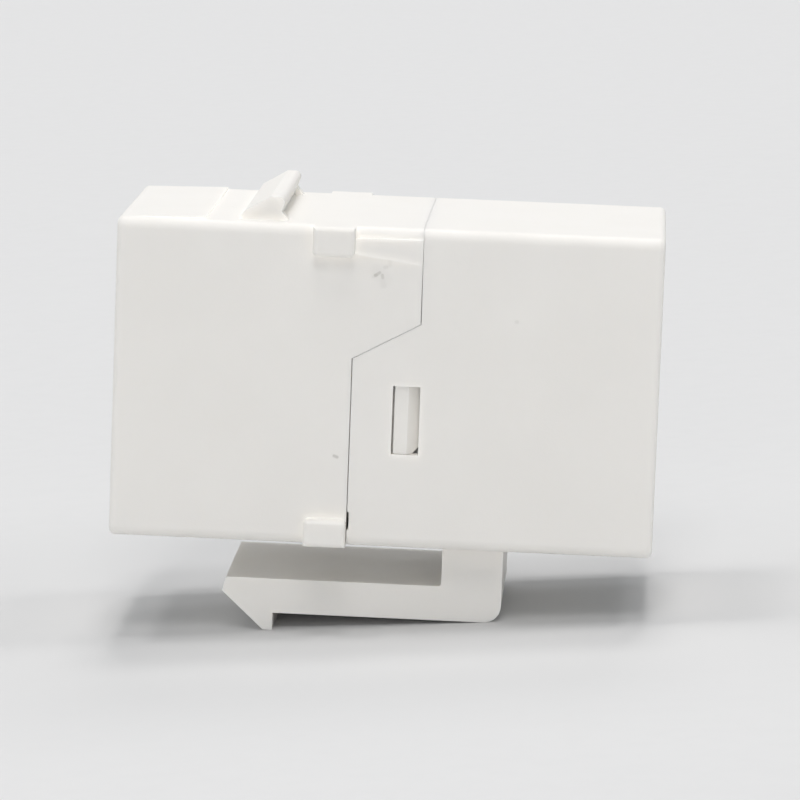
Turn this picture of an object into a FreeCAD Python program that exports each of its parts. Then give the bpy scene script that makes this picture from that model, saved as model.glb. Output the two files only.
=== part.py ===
import FreeCAD, Part
import os
import re
import Sketcher

# Inline network coupler for a keystone panel opening: two eight-way plug ports, back to back.
#
# Frame: +X from the front port to the rear port, +Z up, +Y across. The origin is on the plane
# where the panel stops against the side lugs, at the middle of the body's width and height.
# The rear port is the front port turned half a turn about the body's own cross axis, so every
# contact of one port lies in line with the same contact of the other.

CONTACT_COUNT = 8

SIZES = {
    # outer body, over both housings
    "body_length": (28.2, "front face to rear face"),
    "body_height": (16.68, "underside to top, without the latch and hook"),
    "edge_radius": (0.55, "rounding of the long outer edges"),
    "end_radius": (0.3, "rounding of the end faces' edges"),
    "stop_setback": (10.15, "front face to the panel stop"),
    "side_wall": (1.3, "side walls beside the ports"),
    "cover_wall": (1.2, "top and bottom walls"),
    "face_wall": (1.35, "end walls round the ports"),
    "nose_rise": (0.1, "crush ramp on top of the nose, at its tall end"),
    "nose_run": (4.55, "front face to the tall end of the crush ramp"),
    # stepped seam between the housings
    "seam_step": (3.48, "how much further back the seam is at the top"),
    "knee_low": (1.5, "height of the seam's lower corner above the middle"),
    "knee_high": (3.41, "height of the seam's upper corner above the middle"),
    "seam_gap": (0.04, "gap along the seam"),
    "seam_head_gap": (0.005, "gap at the head of the seam"),
    "relief_gap": (0.13, "gap at the relief near the foot of the seam"),
    "relief_foot": (0.86, "underside to the relief"),
    "relief_height": (0.95, "relief along the seam"),
    # side lugs that stop the panel
    "lug_length": (2.18, "along the body"),
    "lug_proud": (0.75, "how far a lug stands out of the side"),
    "lug_round": (0.25, "rounding of a lug's free edges"),
    "top_lug_height": (1.55, "upper lugs"),
    "foot_lug_height": (1.43, "lower lugs"),
    "fairing_proud": (0.22, "ramp behind the upper lug, where it starts"),
    "fairing_end_proud": (0.05, "ramp behind the upper lug, at the seam"),
    "fairing_height": (1.38, "ramp's lower edge below the top, where it starts"),
    "fairing_end_height": (1.87, "ramp's lower edge below the top, at the seam"),
    # fixed hook on the top
    "hook_width": (12.0, "across the body"),
    "hook_height": (1.24, "above the top"),
    "hook_foot": (2.0, "length of its foot along the body"),
    "hook_gap": (1.5, "panel slot between the hook's tip and the lugs"),
    "hook_overhang": (0.45, "reach of the tip past its foot"),
    "hook_crest": (0.85, "flat along the crest"),
    "hook_toe_height": (0.46, "steep toe at the start of the hook's ramp"),
    "hook_toe_run": (0.3, "steep toe, along the body"),
    "hook_round": (0.3, "rounding of the tip"),
    "gusset_height": (0.65, "webs behind the hook"),
    "gusset_foot": (0.55, "webs behind the hook, along the body"),
    "gusset_width": (0.8, "webs behind the hook, across the body"),
    # latch arm below the body
    "latch_width": (10.0, "across the body"),
    "latch_gap": (2.34, "underside of the body to the arm"),
    "latch_thickness": (1.81, "thickness of the arm"),
    "catch_gap": (1.63, "panel slot between the tooth and the lugs"),
    "tooth_depth": (0.92, "tooth below the arm"),
    "tooth_tip": (0.49, "flat of the tooth's tip"),
    "tooth_ramp": (2.2, "run of the tooth's ramp"),
    "tooth_nose": (0.73, "upright nose above the ramp"),
    "tooth_nose_run": (0.18, "upright nose, along the body"),
    "root_setback": (7.15, "panel stop to the front of the arm's root"),
    "root_length": (3.17, "root along the body"),
    "heel_radius": (0.9, "rounding of the arm's heel"),
    "root_radius": (0.15, "rounding inside the arm's corner"),
    # snap tongues inside the side walls
    "tongue_thickness": (0.5, "tongue inside the side wall"),
    "tongue_height": (4.4, "tongue up the side wall"),
    "tongue_reach": (6.35, "panel stop to the tongue's end"),
    "tongue_point": (1.22, "cut at each corner of the tongue's end"),
    "tongue_lift": (0.12, "middle of the tongue above the window's middle"),
    "window_setback": (4.36, "panel stop to the window"),
    "window_length": (1.41, "window along the body"),
    "window_height": (3.58, "window up the side"),
    "window_drop": (1.63, "middle of the window below the body's middle"),
    "barb_gap": (0.1, "window's front edge to the barb"),
    "barb_flat": (0.7, "barb's flat face"),
    "barb_ramp": (0.6, "barb's lead-in ramp"),
    "barb_recess": (0.22, "barb's face below the side of the body"),
    "barb_side_gap": (0.02, "barb to the window's top and bottom"),
    # plug port
    "port_width": (11.9, "plug opening, and the room inside"),
    "port_height": (6.85, "plug opening without its clip notch"),
    "port_drop": (3.49, "top of the body to the plug opening"),
    "clip_width": (6.2, "notch for the plug's clip"),
    "clip_depth": (1.5, "notch for the plug's clip"),
    "lever_width": (4.0, "notch for the clip's lever"),
    "lever_depth": (1.3, "notch for the clip's lever"),
    "mouth_chamfer": (0.3, "lead-in round the opening"),
    "shelf_wall": (1.0, "shelf that carries the plug"),
    "shelf_web": (0.9, "upright web under the shelf"),
    # board and contact blocks
    "fit_gap": (0.05, "clearance of a piece that slides into the housings"),
    "board_thickness": (1.6, "circuit board"),
    "block_wall": (1.6, "contact block's upright wall"),
    "comb_gap": (0.1, "plug opening to the comb plate"),
    "comb_thickness": (1.2, "comb plate under the contacts"),
    "comb_setback": (4.15, "end face to the comb plate's front edge"),
    "comb_arm": (1.4, "side arms that reach on to the end wall"),
    "comb_rib": (0.35, "ribs between the contacts"),
    "comb_slot": (0.6, "slot that a contact lies in"),
    "rest_slot_depth": (0.8, "slots that the contacts' free ends move in"),
    "rest_slot_height": (3.7, "slots that the contacts' free ends move in"),
    "rest_slot_drop": (1.45, "top of the plug opening to those slots"),
    "peg_radius": (0.6, "pegs that place the board"),
    "peg_length": (1.2, "pegs that place the board"),
    "peg_spread": (4.2, "pegs out from the middle"),
    "peg_drop": (2.5, "pegs below the middle"),
    # contact springs
    "contact_pitch": (1.016, "from one contact to the next"),
    "wire_width": (0.45, "contact across the port"),
    "wire_thickness": (0.35, "contact's strip"),
    "wire_clearance": (0.02, "contact above the comb plate"),
    "wire_angle": (27.0, "degrees, slope of the contact's free run into the port"),
    "wire_bend": (0.35, "centre-line radius of the lead's bends"),
    "free_end_depth": (0.45, "free end past the block's front face"),
    "lead_inset": (1.1, "upright lead behind the block's front face"),
    "tail_drop": (0.15, "middle of the comb plate to the upper row of tails"),
    "tail_stagger": (1.2, "upper row of tails to the lower row"),
    "tail_inset": (0.05, "tail's end below the board's far face"),
    "hole_radius": (0.32, "plated holes for the tails"),
}

# Places that follow from the sizes, all in the frame above.
PLACES = {
    "nose_x": "-stop_setback",
    "rear_x": "body_length - stop_setback",
    "centre_x": "body_length / 2 - stop_setback",
    "body_width": "port_width + 2 * side_wall",
    "side_y": "body_width / 2",
    "top_z": "body_height / 2",
    "room_y": "port_width / 2",
    "room_z": "body_height / 2 - cover_wall",
    "seam_foot_x": "lug_length",
    "seam_top_x": "lug_length + seam_step",
    "face_inner_x": "nose_x + face_wall",
    "port_rise": "top_z - port_drop",
    "plug_floor_z": "port_rise - port_height",
    "board_x": "centre_x - board_thickness / 2",
    "block_x": "board_x - block_wall",
    "comb_x": "nose_x + comb_setback",
    "comb_low_z": "port_rise + comb_gap",
    "comb_top_z": "comb_low_z + comb_thickness",
    "comb_mid_z": "comb_low_z + comb_thickness / 2",
    "bend_radius": "comb_thickness / 2 + wire_clearance + wire_thickness / 2",
    "bend_x": "comb_x + comb_thickness / 2",
    "tongue_y": "room_y + tongue_thickness",
    "window_z": "-window_drop",
    "tongue_z": "window_z + tongue_lift",
    "tongue_half": "tongue_height / 2",
    "barb_x": "window_setback + barb_gap",
    "arm_top_z": "-top_z - latch_gap",
    "arm_low_z": "arm_top_z - latch_thickness",
    "hook_tip_x": "-hook_gap",
    "hook_foot_x": "hook_tip_x - hook_overhang",
    "hook_toe_x": "hook_foot_x - hook_foot",
    "relief_low_z": "relief_foot - top_z",
    "relief_high_z": "relief_low_z + relief_height",
    "rest_slot_z": "port_rise - rest_slot_drop",
    "tail_high": "comb_mid_z - tail_drop",
    "tail_low": "tail_high - tail_stagger",
    "lead_x": "block_x + lead_inset",
    "first_contact_y": "-contact_pitch * contact_gaps / 2",
    "contact_gaps": str(CONTACT_COUNT - 1),
}

OVERLAP = "0.2"  # how deep a feature is rooted in the wall that carries it

doc = FreeCAD.newDocument("inline_coupler")
sheet = doc.addObject("Spreadsheet::Sheet", "Sizes")
for number, (size_name, (size_value, meaning)) in enumerate(SIZES.items(), start=1):
    sheet.set(f"A{number}", size_name)
    sheet.set(f"B{number}", str(size_value))
    sheet.set(f"C{number}", meaning)
    sheet.setAlias(f"B{number}", size_name)
doc.recompute()


def formula(text):
    """Spell out a formula for the expression engine, with places opened up and sizes read."""
    def spell(match):
        word = match.group(0)
        if word in PLACES:
            return "(" + formula(PLACES[word]) + ")"
        return "Sizes." + word if word in SIZES else word
    return re.sub(r"[a-z_]+", spell, text)


def value(text):
    """Number that a formula gives with the present sizes."""
    return float(sheet.evalExpression(formula(text)))


def bind(thing, path, text):
    """Tie one property of a document object to a formula."""
    thing.setExpression(path, formula(text))


def new_body(label):
    """Empty body for one sub-part, named by its label."""
    body = doc.addObject("PartDesign::Body", label)
    body.Label = label
    return body


def origin_feature(body, role):
    """Plane or axis of the body's own origin."""
    return next(item for item in body.Origin.OriginFeatures if item.Role == role)


def new_sketch(body, name, plane, offset="0"):
    """Sketch on an origin plane of the body, moved along the plane's normal by a formula."""
    sketch = body.newObject("Sketcher::SketchObject", f"{body.Label}_{name}_sketch")
    sketch.AttachmentSupport = [(origin_feature(body, plane), "")]
    sketch.MapMode = "FlatFace"
    bind(sketch, "AttachmentOffset.Base.z", offset)
    return sketch


def hold_point(sketch, geometry, point, across, up):
    """Hold a point of the sketch at two formulas measured from the sketch's origin."""
    for kind, text in (("DistanceX", across), ("DistanceY", up)):
        limit = Sketcher.Constraint(kind, -1, 1, geometry, point, value(text))
        bind(sketch, f"Constraints[{sketch.addConstraint(limit)}]", text)


def add_outline(sketch, corners):
    """Closed outline of straight sides, every corner held by formulas."""
    points = [FreeCAD.Vector(value(across), value(up), 0) for across, up in corners]
    sides = []
    for start, end in zip(points, points[1:] + points[:1]):
        sides.append(sketch.addGeometry(Part.LineSegment(start, end), False))
    for side, following in zip(sides, sides[1:] + sides[:1]):
        sketch.addConstraint(Sketcher.Constraint("Coincident", side, 2, following, 1))
    for side, (across, up) in zip(sides, corners):
        hold_point(sketch, side, 1, across, up)


def add_circle(sketch, across, up, radius):
    """Circle with its centre and radius held by formulas."""
    centre = FreeCAD.Vector(value(across), value(up), 0)
    circle = Part.Circle(centre, FreeCAD.Vector(0, 0, 1), value(radius))
    geometry = sketch.addGeometry(circle, False)
    hold_point(sketch, geometry, 3, across, up)
    limit = sketch.addConstraint(Sketcher.Constraint("Radius", geometry, value(radius)))
    bind(sketch, f"Constraints[{limit}]", radius)


def rectangle(low_across, high_across, low_up, high_up):
    """Corners of a rectangle between four formulas."""
    return [(low_across, low_up), (high_across, low_up), (high_across, high_up), (low_across, high_up)]


def mirrored(corners):
    """The same outline on the other side of the sketch's upright axis."""
    return [(f"-({across})", up) for across, up in corners]


def add_feature(body, kind, name, sketch, length, side_type="Symmetric", reverse=False):
    """Pad or pocket of a sketch, its length tied to a formula."""
    feature = body.newObject(f"PartDesign::{kind}", f"{body.Label}_{name}")
    feature.Profile = sketch
    feature.SideType = side_type
    feature.Reversed = reverse
    bind(feature, "Length", length)
    return feature


def side_pad(body, name, outlines, width, kind="Pad"):
    """Outlines seen from the side (X across, Z up), spread evenly to both sides of the middle."""
    sketch = new_sketch(body, name, "XZ_Plane")
    for corners in outlines:
        add_outline(sketch, corners)
    return add_feature(body, kind, name, sketch, width)


def round_edges(body, name, base, wanted, radius, kind="Fillet"):
    """Fillet or chamfer the edges of the base feature that the test picks."""
    doc.recompute()
    names = [f"Edge{index}" for index, edge in enumerate(base.Shape.Edges, start=1) if wanted(edge)]
    feature = body.newObject(f"PartDesign::{kind}", f"{body.Label}_{name}")
    feature.Base = (base, names)
    bind(feature, "Radius" if kind == "Fillet" else "Size", radius)
    doc.recompute()
    return feature


def runs_along(edge, axis):
    """True for an edge whose ends differ along one axis of the frame only."""
    if len(edge.Vertexes) < 2:
        return False
    span = edge.Vertexes[-1].Point - edge.Vertexes[0].Point
    return span.Length > 1e-6 and abs(getattr(span, axis)) > 0.9999 * span.Length


def is_at(edge, **places):
    """True for an edge whose middle lies at the given coordinates."""
    middle = edge.CenterOfMass
    return all(abs(getattr(middle, axis) - place) < 1e-4 for axis, place in places.items())


def turn_x(text, turned):
    """X of a place in the front port, or of the same place in the turned rear port."""
    return f"2 * centre_x - ({text})" if turned else text


def turn_z(text, turned):
    """Z of a place in the front port, or of the same place in the turned rear port."""
    return f"-({text})" if turned else text


def turn_corners(corners, turned):
    """Side outline of the front port, or the same outline in the turned rear port."""
    return [(turn_x(across, turned), turn_z(up, turned)) for across, up in corners]


def hollow_port(body, turned):
    """Room behind the end wall, stepped plug opening and the two shelves that carry the plug."""
    room = rectangle("face_inner_x", "centre_x + seam_step", "-room_z", "room_z")
    side_pad(body, "room", [turn_corners(room, turned)], "port_width", "Pocket")

    mouth = [
        ("-room_y", "port_rise"), ("-room_y", "plug_floor_z"),
        ("-clip_width / 2", "plug_floor_z"), ("-clip_width / 2", "plug_floor_z - clip_depth"),
        ("-lever_width / 2", "plug_floor_z - clip_depth"),
        ("-lever_width / 2", "plug_floor_z - clip_depth - lever_depth"),
    ]
    mouth = [(across, turn_z(up, turned)) for across, up in mouth + mirrored(mouth)[::-1]]
    sketch = new_sketch(body, "mouth", "YZ_Plane", turn_x("nose_x", turned))
    add_outline(sketch, mouth)
    opening = add_feature(body, "Pocket", "mouth", sketch, f"face_wall + {OVERLAP}", "One side", not turned)

    end_face = value(turn_x("nose_x", turned))
    half_width = value("room_y") + 0.01

    def round_mouth(edge):
        return is_at(edge, x=end_face) and abs(edge.CenterOfMass.y) < half_width

    round_edges(body, "mouth_chamfer", opening, round_mouth, "mouth_chamfer", "Chamfer")

    shelf = [
        ("clip_width / 2", "plug_floor_z"), (f"room_y + {OVERLAP}", "plug_floor_z"),
        (f"room_y + {OVERLAP}", "plug_floor_z - shelf_wall"),
        ("clip_width / 2 + shelf_web", "plug_floor_z - shelf_wall"),
        ("clip_width / 2 + shelf_web", f"-room_z - {OVERLAP}"),
        ("clip_width / 2", f"-room_z - {OVERLAP}"),
    ]
    shelf = [(across, turn_z(up, turned)) for across, up in shelf]
    root = f"face_inner_x - {OVERLAP}"
    sketch = new_sketch(body, "shelves", "YZ_Plane", turn_x(root, turned))
    add_outline(sketch, shelf)
    add_outline(sketch, mirrored(shelf))
    add_feature(body, "Pad", "shelves", sketch, f"block_x - fit_gap - ({root})", "One side", turned)


def add_lugs(body):
    """Four side lugs that stop the panel, the upper two with a ramp running back to the seam."""
    upper = rectangle("0", "lug_length", "top_z - top_lug_height", "top_z")
    lower = rectangle("0", "lug_length", "-top_z", "foot_lug_height - top_z")
    lugs = side_pad(body, "lugs", [upper, lower], "body_width + 2 * lug_proud")
    outer = value("side_y + lug_proud")
    free_faces = [value("top_z - top_lug_height"), value("foot_lug_height - top_z")]

    def free_edge(edge):
        across = runs_along(edge, "y") and any(is_at(edge, z=face) for face in free_faces)
        return across or abs(abs(edge.CenterOfMass.y) - outer) < 1e-4

    round_edges(body, "lug_rounding", lugs, free_edge, "lug_round")

    stations = (
        ("lug_length", "fairing_proud", "fairing_height"),
        ("seam_top_x", "fairing_end_proud", "fairing_end_height"),
    )
    sections = []
    for number, (place, proud, height) in enumerate(stations):
        sketch = new_sketch(body, f"fairing_{number}", "YZ_Plane", place)
        half = f"side_y + {proud}"
        add_outline(sketch, rectangle(f"-({half})", half, f"top_z - {height}", "top_z - edge_radius"))
        sections.append(sketch)
    fairing = body.newObject("PartDesign::AdditiveLoft", f"{body.Label}_fairing")
    fairing.Profile = sections[0]
    fairing.Sections = sections[1:]
    fairing.Ruled = True


def add_hook(body):
    """Fixed hook across the top with a small web behind each end."""
    root = f"top_z - {OVERLAP}"
    crest = "top_z + hook_height"
    profile = [
        ("hook_toe_x", root), ("hook_foot_x", root), ("hook_foot_x", "top_z"), ("hook_tip_x", crest),
        ("hook_tip_x - hook_crest", crest), ("hook_toe_x + hook_toe_run", "top_z + hook_toe_height"),
        ("hook_toe_x", "top_z"),
    ]
    hook = side_pad(body, "hook", [profile], "hook_width")
    tip = value("hook_tip_x")
    height = value(crest)
    round_edges(
        body, "hook_rounding", hook,
        lambda edge: runs_along(edge, "y") and is_at(edge, x=tip, z=height), "hook_round",
    )
    web = [
        ("hook_foot_x - gusset_foot", root), ("hook_foot_x + gusset_foot", root),
        ("hook_foot_x + gusset_foot", "top_z"), ("hook_foot_x", "top_z + gusset_height"),
        ("hook_foot_x - gusset_foot", "top_z + gusset_height"),
    ]
    web_y = "hook_width / 2 - gusset_width / 2"
    for name, place in (("near", web_y), ("far", f"-({web_y})")):
        sketch = new_sketch(body, f"gusset_{name}", "XZ_Plane", place)
        add_outline(sketch, web)
        add_feature(body, "Pad", f"gusset_{name}", sketch, "gusset_width")


def add_tongues(body):
    """Two pointed tongues that slide inside the rear housing's side walls, each with a barb.

    Both are made as one block right across the body, which the room inside then divides.
    """
    tongue = rectangle("seam_foot_x - lug_length / 2", "tongue_reach",
                       "tongue_z - tongue_half", "tongue_z + tongue_half")
    side_pad(body, "tongues", [tongue], "2 * tongue_y")

    barb_half = [
        ("barb_x", "side_y - barb_recess"), ("barb_x + barb_flat", "side_y - barb_recess"),
        ("barb_x + barb_flat + barb_ramp", "tongue_y"),
    ]
    barb = barb_half + [(across, f"-({up})") for across, up in barb_half[::-1]]
    sketch = new_sketch(body, "barbs", "XY_Plane", "window_z")
    add_outline(sketch, barb)
    add_feature(body, "Pad", "barbs", sketch, "window_height - 2 * barb_side_gap")

    points = []
    for half, cut in (("tongue_half", "-tongue_point"), ("-tongue_half", "tongue_point")):
        edge = f"tongue_z + {half}"
        points.append([
            ("tongue_reach - tongue_point", edge), ("tongue_reach", f"{edge} + {cut}"), ("tongue_reach", edge),
        ])
    side_pad(body, "tongue_points", points, "2 * body_width", "Pocket")


def long_outer_edge(edge):
    """True for the four long edges of a housing's outer block."""
    middle = edge.CenterOfMass
    beside = abs(abs(middle.y) - value("side_y")) < 1e-4
    above = abs(abs(middle.z) - value("top_z")) < 1e-4
    return runs_along(edge, "x") and beside and above


def round_outside(body, shell, end_face):
    """Round the long edges of a housing's outer block, then all the edges of its end face."""
    rounded = round_edges(body, "outer_rounding", shell, long_outer_edge, "edge_radius")
    end_x = value(end_face)
    round_edges(body, "end_rounding", rounded, lambda edge: is_at(edge, x=end_x), "end_radius")


def build_front_housing():
    """Front shell: nose, lugs, hook and snap tongues round the front port."""
    body = new_body("front_housing")
    outline = [
        ("nose_x", "-top_z"), ("seam_foot_x", "-top_z"), ("seam_foot_x", "knee_low"),
        ("seam_top_x", "knee_high"), ("seam_top_x", "top_z"), ("nose_x", "top_z"),
    ]
    shell = side_pad(body, "shell", [outline], "body_width")
    round_outside(body, shell, "nose_x")
    ramp = [
        ("nose_x + end_radius", f"top_z - {OVERLAP}"), ("nose_x + nose_run", f"top_z - {OVERLAP}"),
        ("nose_x + nose_run", "top_z + nose_rise"), ("nose_x + end_radius", "top_z"),
    ]
    side_pad(body, "nose_ramp", [ramp], "body_width - 2 * edge_radius")
    add_lugs(body)
    add_hook(body)
    add_tongues(body)
    hollow_port(body, turned=False)
    return body


def add_latch(body):
    """Sprung latch arm under the body, rooted in the rear housing and reaching forward."""
    tip_x = "-catch_gap"
    nose = f"{tip_x} - tooth_tip - tooth_ramp"
    tooth_low = "arm_low_z - tooth_depth"
    profile = [
        ("root_setback", f"-top_z + {OVERLAP}"), ("root_setback", "arm_top_z"),
        (f"{nose} + tooth_nose_run", "arm_top_z"), (nose, "arm_top_z - tooth_nose"),
        (f"{tip_x} - tooth_tip", tooth_low), (tip_x, tooth_low), (tip_x, "arm_low_z"),
        ("root_setback + root_length", "arm_low_z"), ("root_setback + root_length", f"-top_z + {OVERLAP}"),
    ]
    arm = side_pad(body, "latch", [profile], "latch_width")
    corners = (
        ("heel", "root_setback + root_length", "arm_low_z", "heel_radius"),
        ("root", "root_setback", "arm_top_z", "root_radius"),
    )
    for name, across, up, radius in corners:
        place_x = value(across)
        place_z = value(up)
        arm = round_edges(
            body, f"{name}_rounding", arm,
            lambda edge: runs_along(edge, "y") and is_at(edge, x=place_x, z=place_z), radius,
        )


def cut_snap_windows(body):
    """Recess inside each side wall for the tongue, and the window that its barb snaps into."""
    recess = rectangle("seam_foot_x - lug_length", "tongue_reach + 2 * fit_gap",
                       "tongue_z - tongue_half - fit_gap", "tongue_z + tongue_half + fit_gap")
    side_pad(body, "tongue_recess", [recess], "2 * (tongue_y + fit_gap)", "Pocket")
    window = rectangle("window_setback", "window_setback + window_length",
                       "window_z - window_height / 2", "window_z + window_height / 2")
    side_pad(body, "windows", [window], "2 * body_width", "Pocket")


def build_rear_housing():
    """Rear shell: the rear port with the latch arm and the snap windows."""
    body = new_body("rear_housing")
    seam_x = "seam_foot_x + seam_gap"
    relief_x = "seam_foot_x + relief_gap"
    outline = [
        ("rear_x", "-top_z"), ("rear_x", "top_z"), ("seam_top_x + seam_head_gap", "top_z"),
        ("seam_top_x + seam_gap", "knee_high"), (seam_x, "knee_low"),
        (seam_x, "relief_high_z"), (relief_x, "relief_high_z"),
        (relief_x, "relief_low_z"), (seam_x, "relief_low_z"), (seam_x, "-top_z"),
    ]
    shell = side_pad(body, "shell", [outline], "body_width")
    round_outside(body, shell, "rear_x")
    add_latch(body)
    cut_snap_windows(body)
    hollow_port(body, turned=True)
    return body


def pattern_across(body, name, feature, spacing, count):
    """Repeat a feature across the port, towards +Y."""
    pattern = body.newObject("PartDesign::LinearPattern", f"{body.Label}_{name}")
    pattern.Originals = [feature]
    pattern.Direction = (origin_feature(body, "Y_Axis"), [""])
    bind(pattern, "Length", f"({spacing}) * {count - 1}")
    pattern.Occurrences = count
    body.Tip = pattern
    return pattern


def turn_round(body, turned, across="0"):
    """Seat a body in the front port, or half a turn round in the rear port, at a place across."""
    turn = FreeCAD.Rotation(FreeCAD.Vector(0, 1, 0), 180 if turned else 0)
    body.Placement = FreeCAD.Placement(FreeCAD.Vector(0, 0, 0), turn)
    bind(body, "Placement.Base.x", "2 * centre_x" if turned else "0")
    bind(body, "Placement.Base.y", across)


def build_contact_block(label, turned):
    """Moulded block: an upright wall against the board and a comb plate that guides the contacts."""
    body = new_body(label)
    head = "room_z - fit_gap"
    plate_x = "face_inner_x + fit_gap"
    profile = [
        ("block_x", f"-({head})"), ("board_x", f"-({head})"), ("board_x", head), ("block_x", head),
        ("block_x", "comb_top_z"), (plate_x, "comb_top_z"), (plate_x, "comb_low_z"),
        ("block_x", "comb_low_z"),
    ]
    side_pad(body, "wall_and_plate", [profile], "port_width - 2 * fit_gap")

    gap_half = "room_y - fit_gap - comb_arm"
    sketch = new_sketch(body, "bend_gap", "XY_Plane", "comb_mid_z")
    add_outline(sketch, rectangle("nose_x", "comb_x", f"-({gap_half})", gap_half))
    gap = add_feature(body, "Pocket", "bend_gap", sketch, "2 * comb_thickness")
    edge_x = value("comb_x")
    plate_front = round_edges(
        body, "comb_nose", gap,
        lambda edge: runs_along(edge, "y") and is_at(edge, x=edge_x), "comb_thickness * 0.49",
    )

    rib_half = "(contact_pitch - comb_slot) / 2"
    first_rib = "first_contact_y - contact_pitch / 2"
    rib = rectangle(f"{first_rib} - {rib_half}", f"{first_rib} + {rib_half}",
                    f"comb_top_z - {OVERLAP}", "comb_top_z + comb_rib")
    sketch = new_sketch(body, "rib", "YZ_Plane", "bend_x")
    add_outline(sketch, rib)
    ribs = add_feature(body, "Pad", "rib", sketch, f"block_x - bend_x + {OVERLAP}", "One side")
    pattern_across(body, "ribs", ribs, "contact_pitch", CONTACT_COUNT + 1)

    play = "wire_thickness / 2 + fit_gap"
    lead_slot = [
        (f"block_x - {OVERLAP}", "comb_top_z"), ("lead_x - wire_bend", "comb_top_z"),
        ("lead_x - wire_bend", f"tail_low - ({play})"), (f"board_x + {OVERLAP}", f"tail_low - ({play})"),
        (f"board_x + {OVERLAP}", "room_z"), (f"block_x - {OVERLAP}", "room_z"),
    ]
    rest_slot = rectangle(f"block_x - {OVERLAP}", "block_x + rest_slot_depth",
                          "rest_slot_z - rest_slot_height", "rest_slot_z")
    sketch = new_sketch(body, "slots", "XZ_Plane", "-(first_contact_y)")
    add_outline(sketch, lead_slot)
    add_outline(sketch, rest_slot)
    slot = add_feature(body, "Pocket", "slot", sketch, "comb_slot")
    pattern_across(body, "slots", slot, "contact_pitch", CONTACT_COUNT)

    sketch = new_sketch(body, "pegs", "YZ_Plane", f"board_x - {OVERLAP}")
    for across in ("peg_spread", "-peg_spread"):
        add_circle(sketch, across, "-peg_drop", "peg_radius")
    add_feature(body, "Pad", "pegs", sketch, f"peg_length + {OVERLAP}", "One side")
    turn_round(body, turned)
    return body


def build_circuit_board():
    """Board across the middle of the body, with staggered rows of holes for both ports' tails."""
    body = new_body("circuit_board")
    sketch = new_sketch(body, "outline", "YZ_Plane", "centre_x")
    half_width = "room_y - fit_gap"
    half_height = "room_z - fit_gap"
    add_outline(sketch, rectangle(f"-({half_width})", half_width, f"-({half_height})", half_height))
    for across in ("peg_spread", "-peg_spread"):
        for up in ("peg_drop", "-peg_drop"):
            add_circle(sketch, across, up, "peg_radius + fit_gap")
    add_feature(body, "Pad", "outline", sketch, "board_thickness")

    sketch = new_sketch(body, "holes", "YZ_Plane", "centre_x")
    for across, row in (("first_contact_y", "tail_high"), ("first_contact_y + contact_pitch", "tail_low")):
        for up in (row, f"-({row})"):
            add_circle(sketch, across, up, "hole_radius")
    holes = add_feature(body, "Pocket", "hole", sketch, "2 * board_thickness")
    pattern_across(body, "holes", holes, "2 * contact_pitch", CONTACT_COUNT // 2)
    return body


def add_wire_path(body, tail_row):
    """Centre line of a contact, from its tail in the board round the comb's nose into the port."""
    sketch = new_sketch(body, "path", "XZ_Plane")
    point = FreeCAD.Vector
    bend = value("wire_bend")
    nose_radius = value("bend_radius")
    slope = value("wire_angle")
    right, up, left, down = 0, 90, 180, 270  # degrees round an arc
    tail = point(value("board_x + board_thickness - tail_inset"), value(tail_row), 0)
    lead = value("lead_x")
    upper = value("comb_mid_z + bend_radius")
    nose = point(value("bend_x"), value("comb_mid_z"), 0)
    free_x = value("block_x + free_end_depth")

    def straight(start, end):
        return sketch.addGeometry(Part.LineSegment(start, end), False)

    def arc(centre, radius, first, last):
        circle = Part.Circle(centre, point(0, 0, 1), radius)
        radians = [FreeCAD.Units.Quantity(f"{angle} deg").getValueAs("rad").Value for angle in (first, last)]
        return sketch.addGeometry(Part.ArcOfCircle(circle, *radians), False)

    tail_run = straight(tail, point(lead + bend, tail.y, 0))
    tail_bend = arc(point(lead + bend, tail.y + bend, 0), bend, left, down)
    lead_run = straight(point(lead, tail.y + bend, 0), point(lead, upper - bend, 0))
    lead_bend = arc(point(lead - bend, upper - bend, 0), bend, right, up)
    upper_run = straight(point(lead - bend, upper, 0), point(nose.x, upper, 0))
    nose_bend = arc(nose, nose_radius, up, down - slope)
    turn = FreeCAD.Rotation(point(0, 0, 1), -slope)
    foot = nose + turn.multVec(point(0, -nose_radius, 0))
    forward = turn.multVec(point(1, 0, 0))
    free_end = foot + forward * ((free_x - foot.x) / forward.x)
    free_run = straight(foot, free_end)

    joins = (
        (tail_run, 2, tail_bend, 2), (tail_bend, 1, lead_run, 1), (lead_run, 2, lead_bend, 1),
        (lead_bend, 2, upper_run, 1), (upper_run, 2, nose_bend, 1), (nose_bend, 2, free_run, 1),
    )
    for join in joins:
        sketch.addConstraint(Sketcher.Constraint("Tangent", *join))
    sketch.addConstraint(Sketcher.Constraint("Horizontal", tail_run))
    sketch.addConstraint(Sketcher.Constraint("Vertical", lead_run))
    hold_point(sketch, tail_run, 1, "board_x + board_thickness - tail_inset", tail_row)
    hold_point(sketch, nose_bend, 3, "bend_x", "comb_mid_z")
    sketch.addConstraint(Sketcher.Constraint("Horizontal", upper_run))

    distances = (
        (("DistanceX", -1, 1, lead_run, 1), "lead_x"),
        (("Radius", tail_bend), "wire_bend"),
        (("Radius", lead_bend), "wire_bend"),
        (("Radius", nose_bend), "bend_radius"),
        (("DistanceX", -1, 1, free_run, 2), "block_x + free_end_depth"),
    )
    for parts, text in distances:
        number = sketch.addConstraint(Sketcher.Constraint(*parts, value(text)))
        bind(sketch, f"Constraints[{number}]", text)
    radians = FreeCAD.Units.Quantity(f"{slope} deg").getValueAs("rad").Value
    tilt = Sketcher.Constraint("Angle", free_run, -radians)
    bind(sketch, f"Constraints[{sketch.addConstraint(tilt)}]", "-wire_angle * 1 deg")
    return sketch


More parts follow.
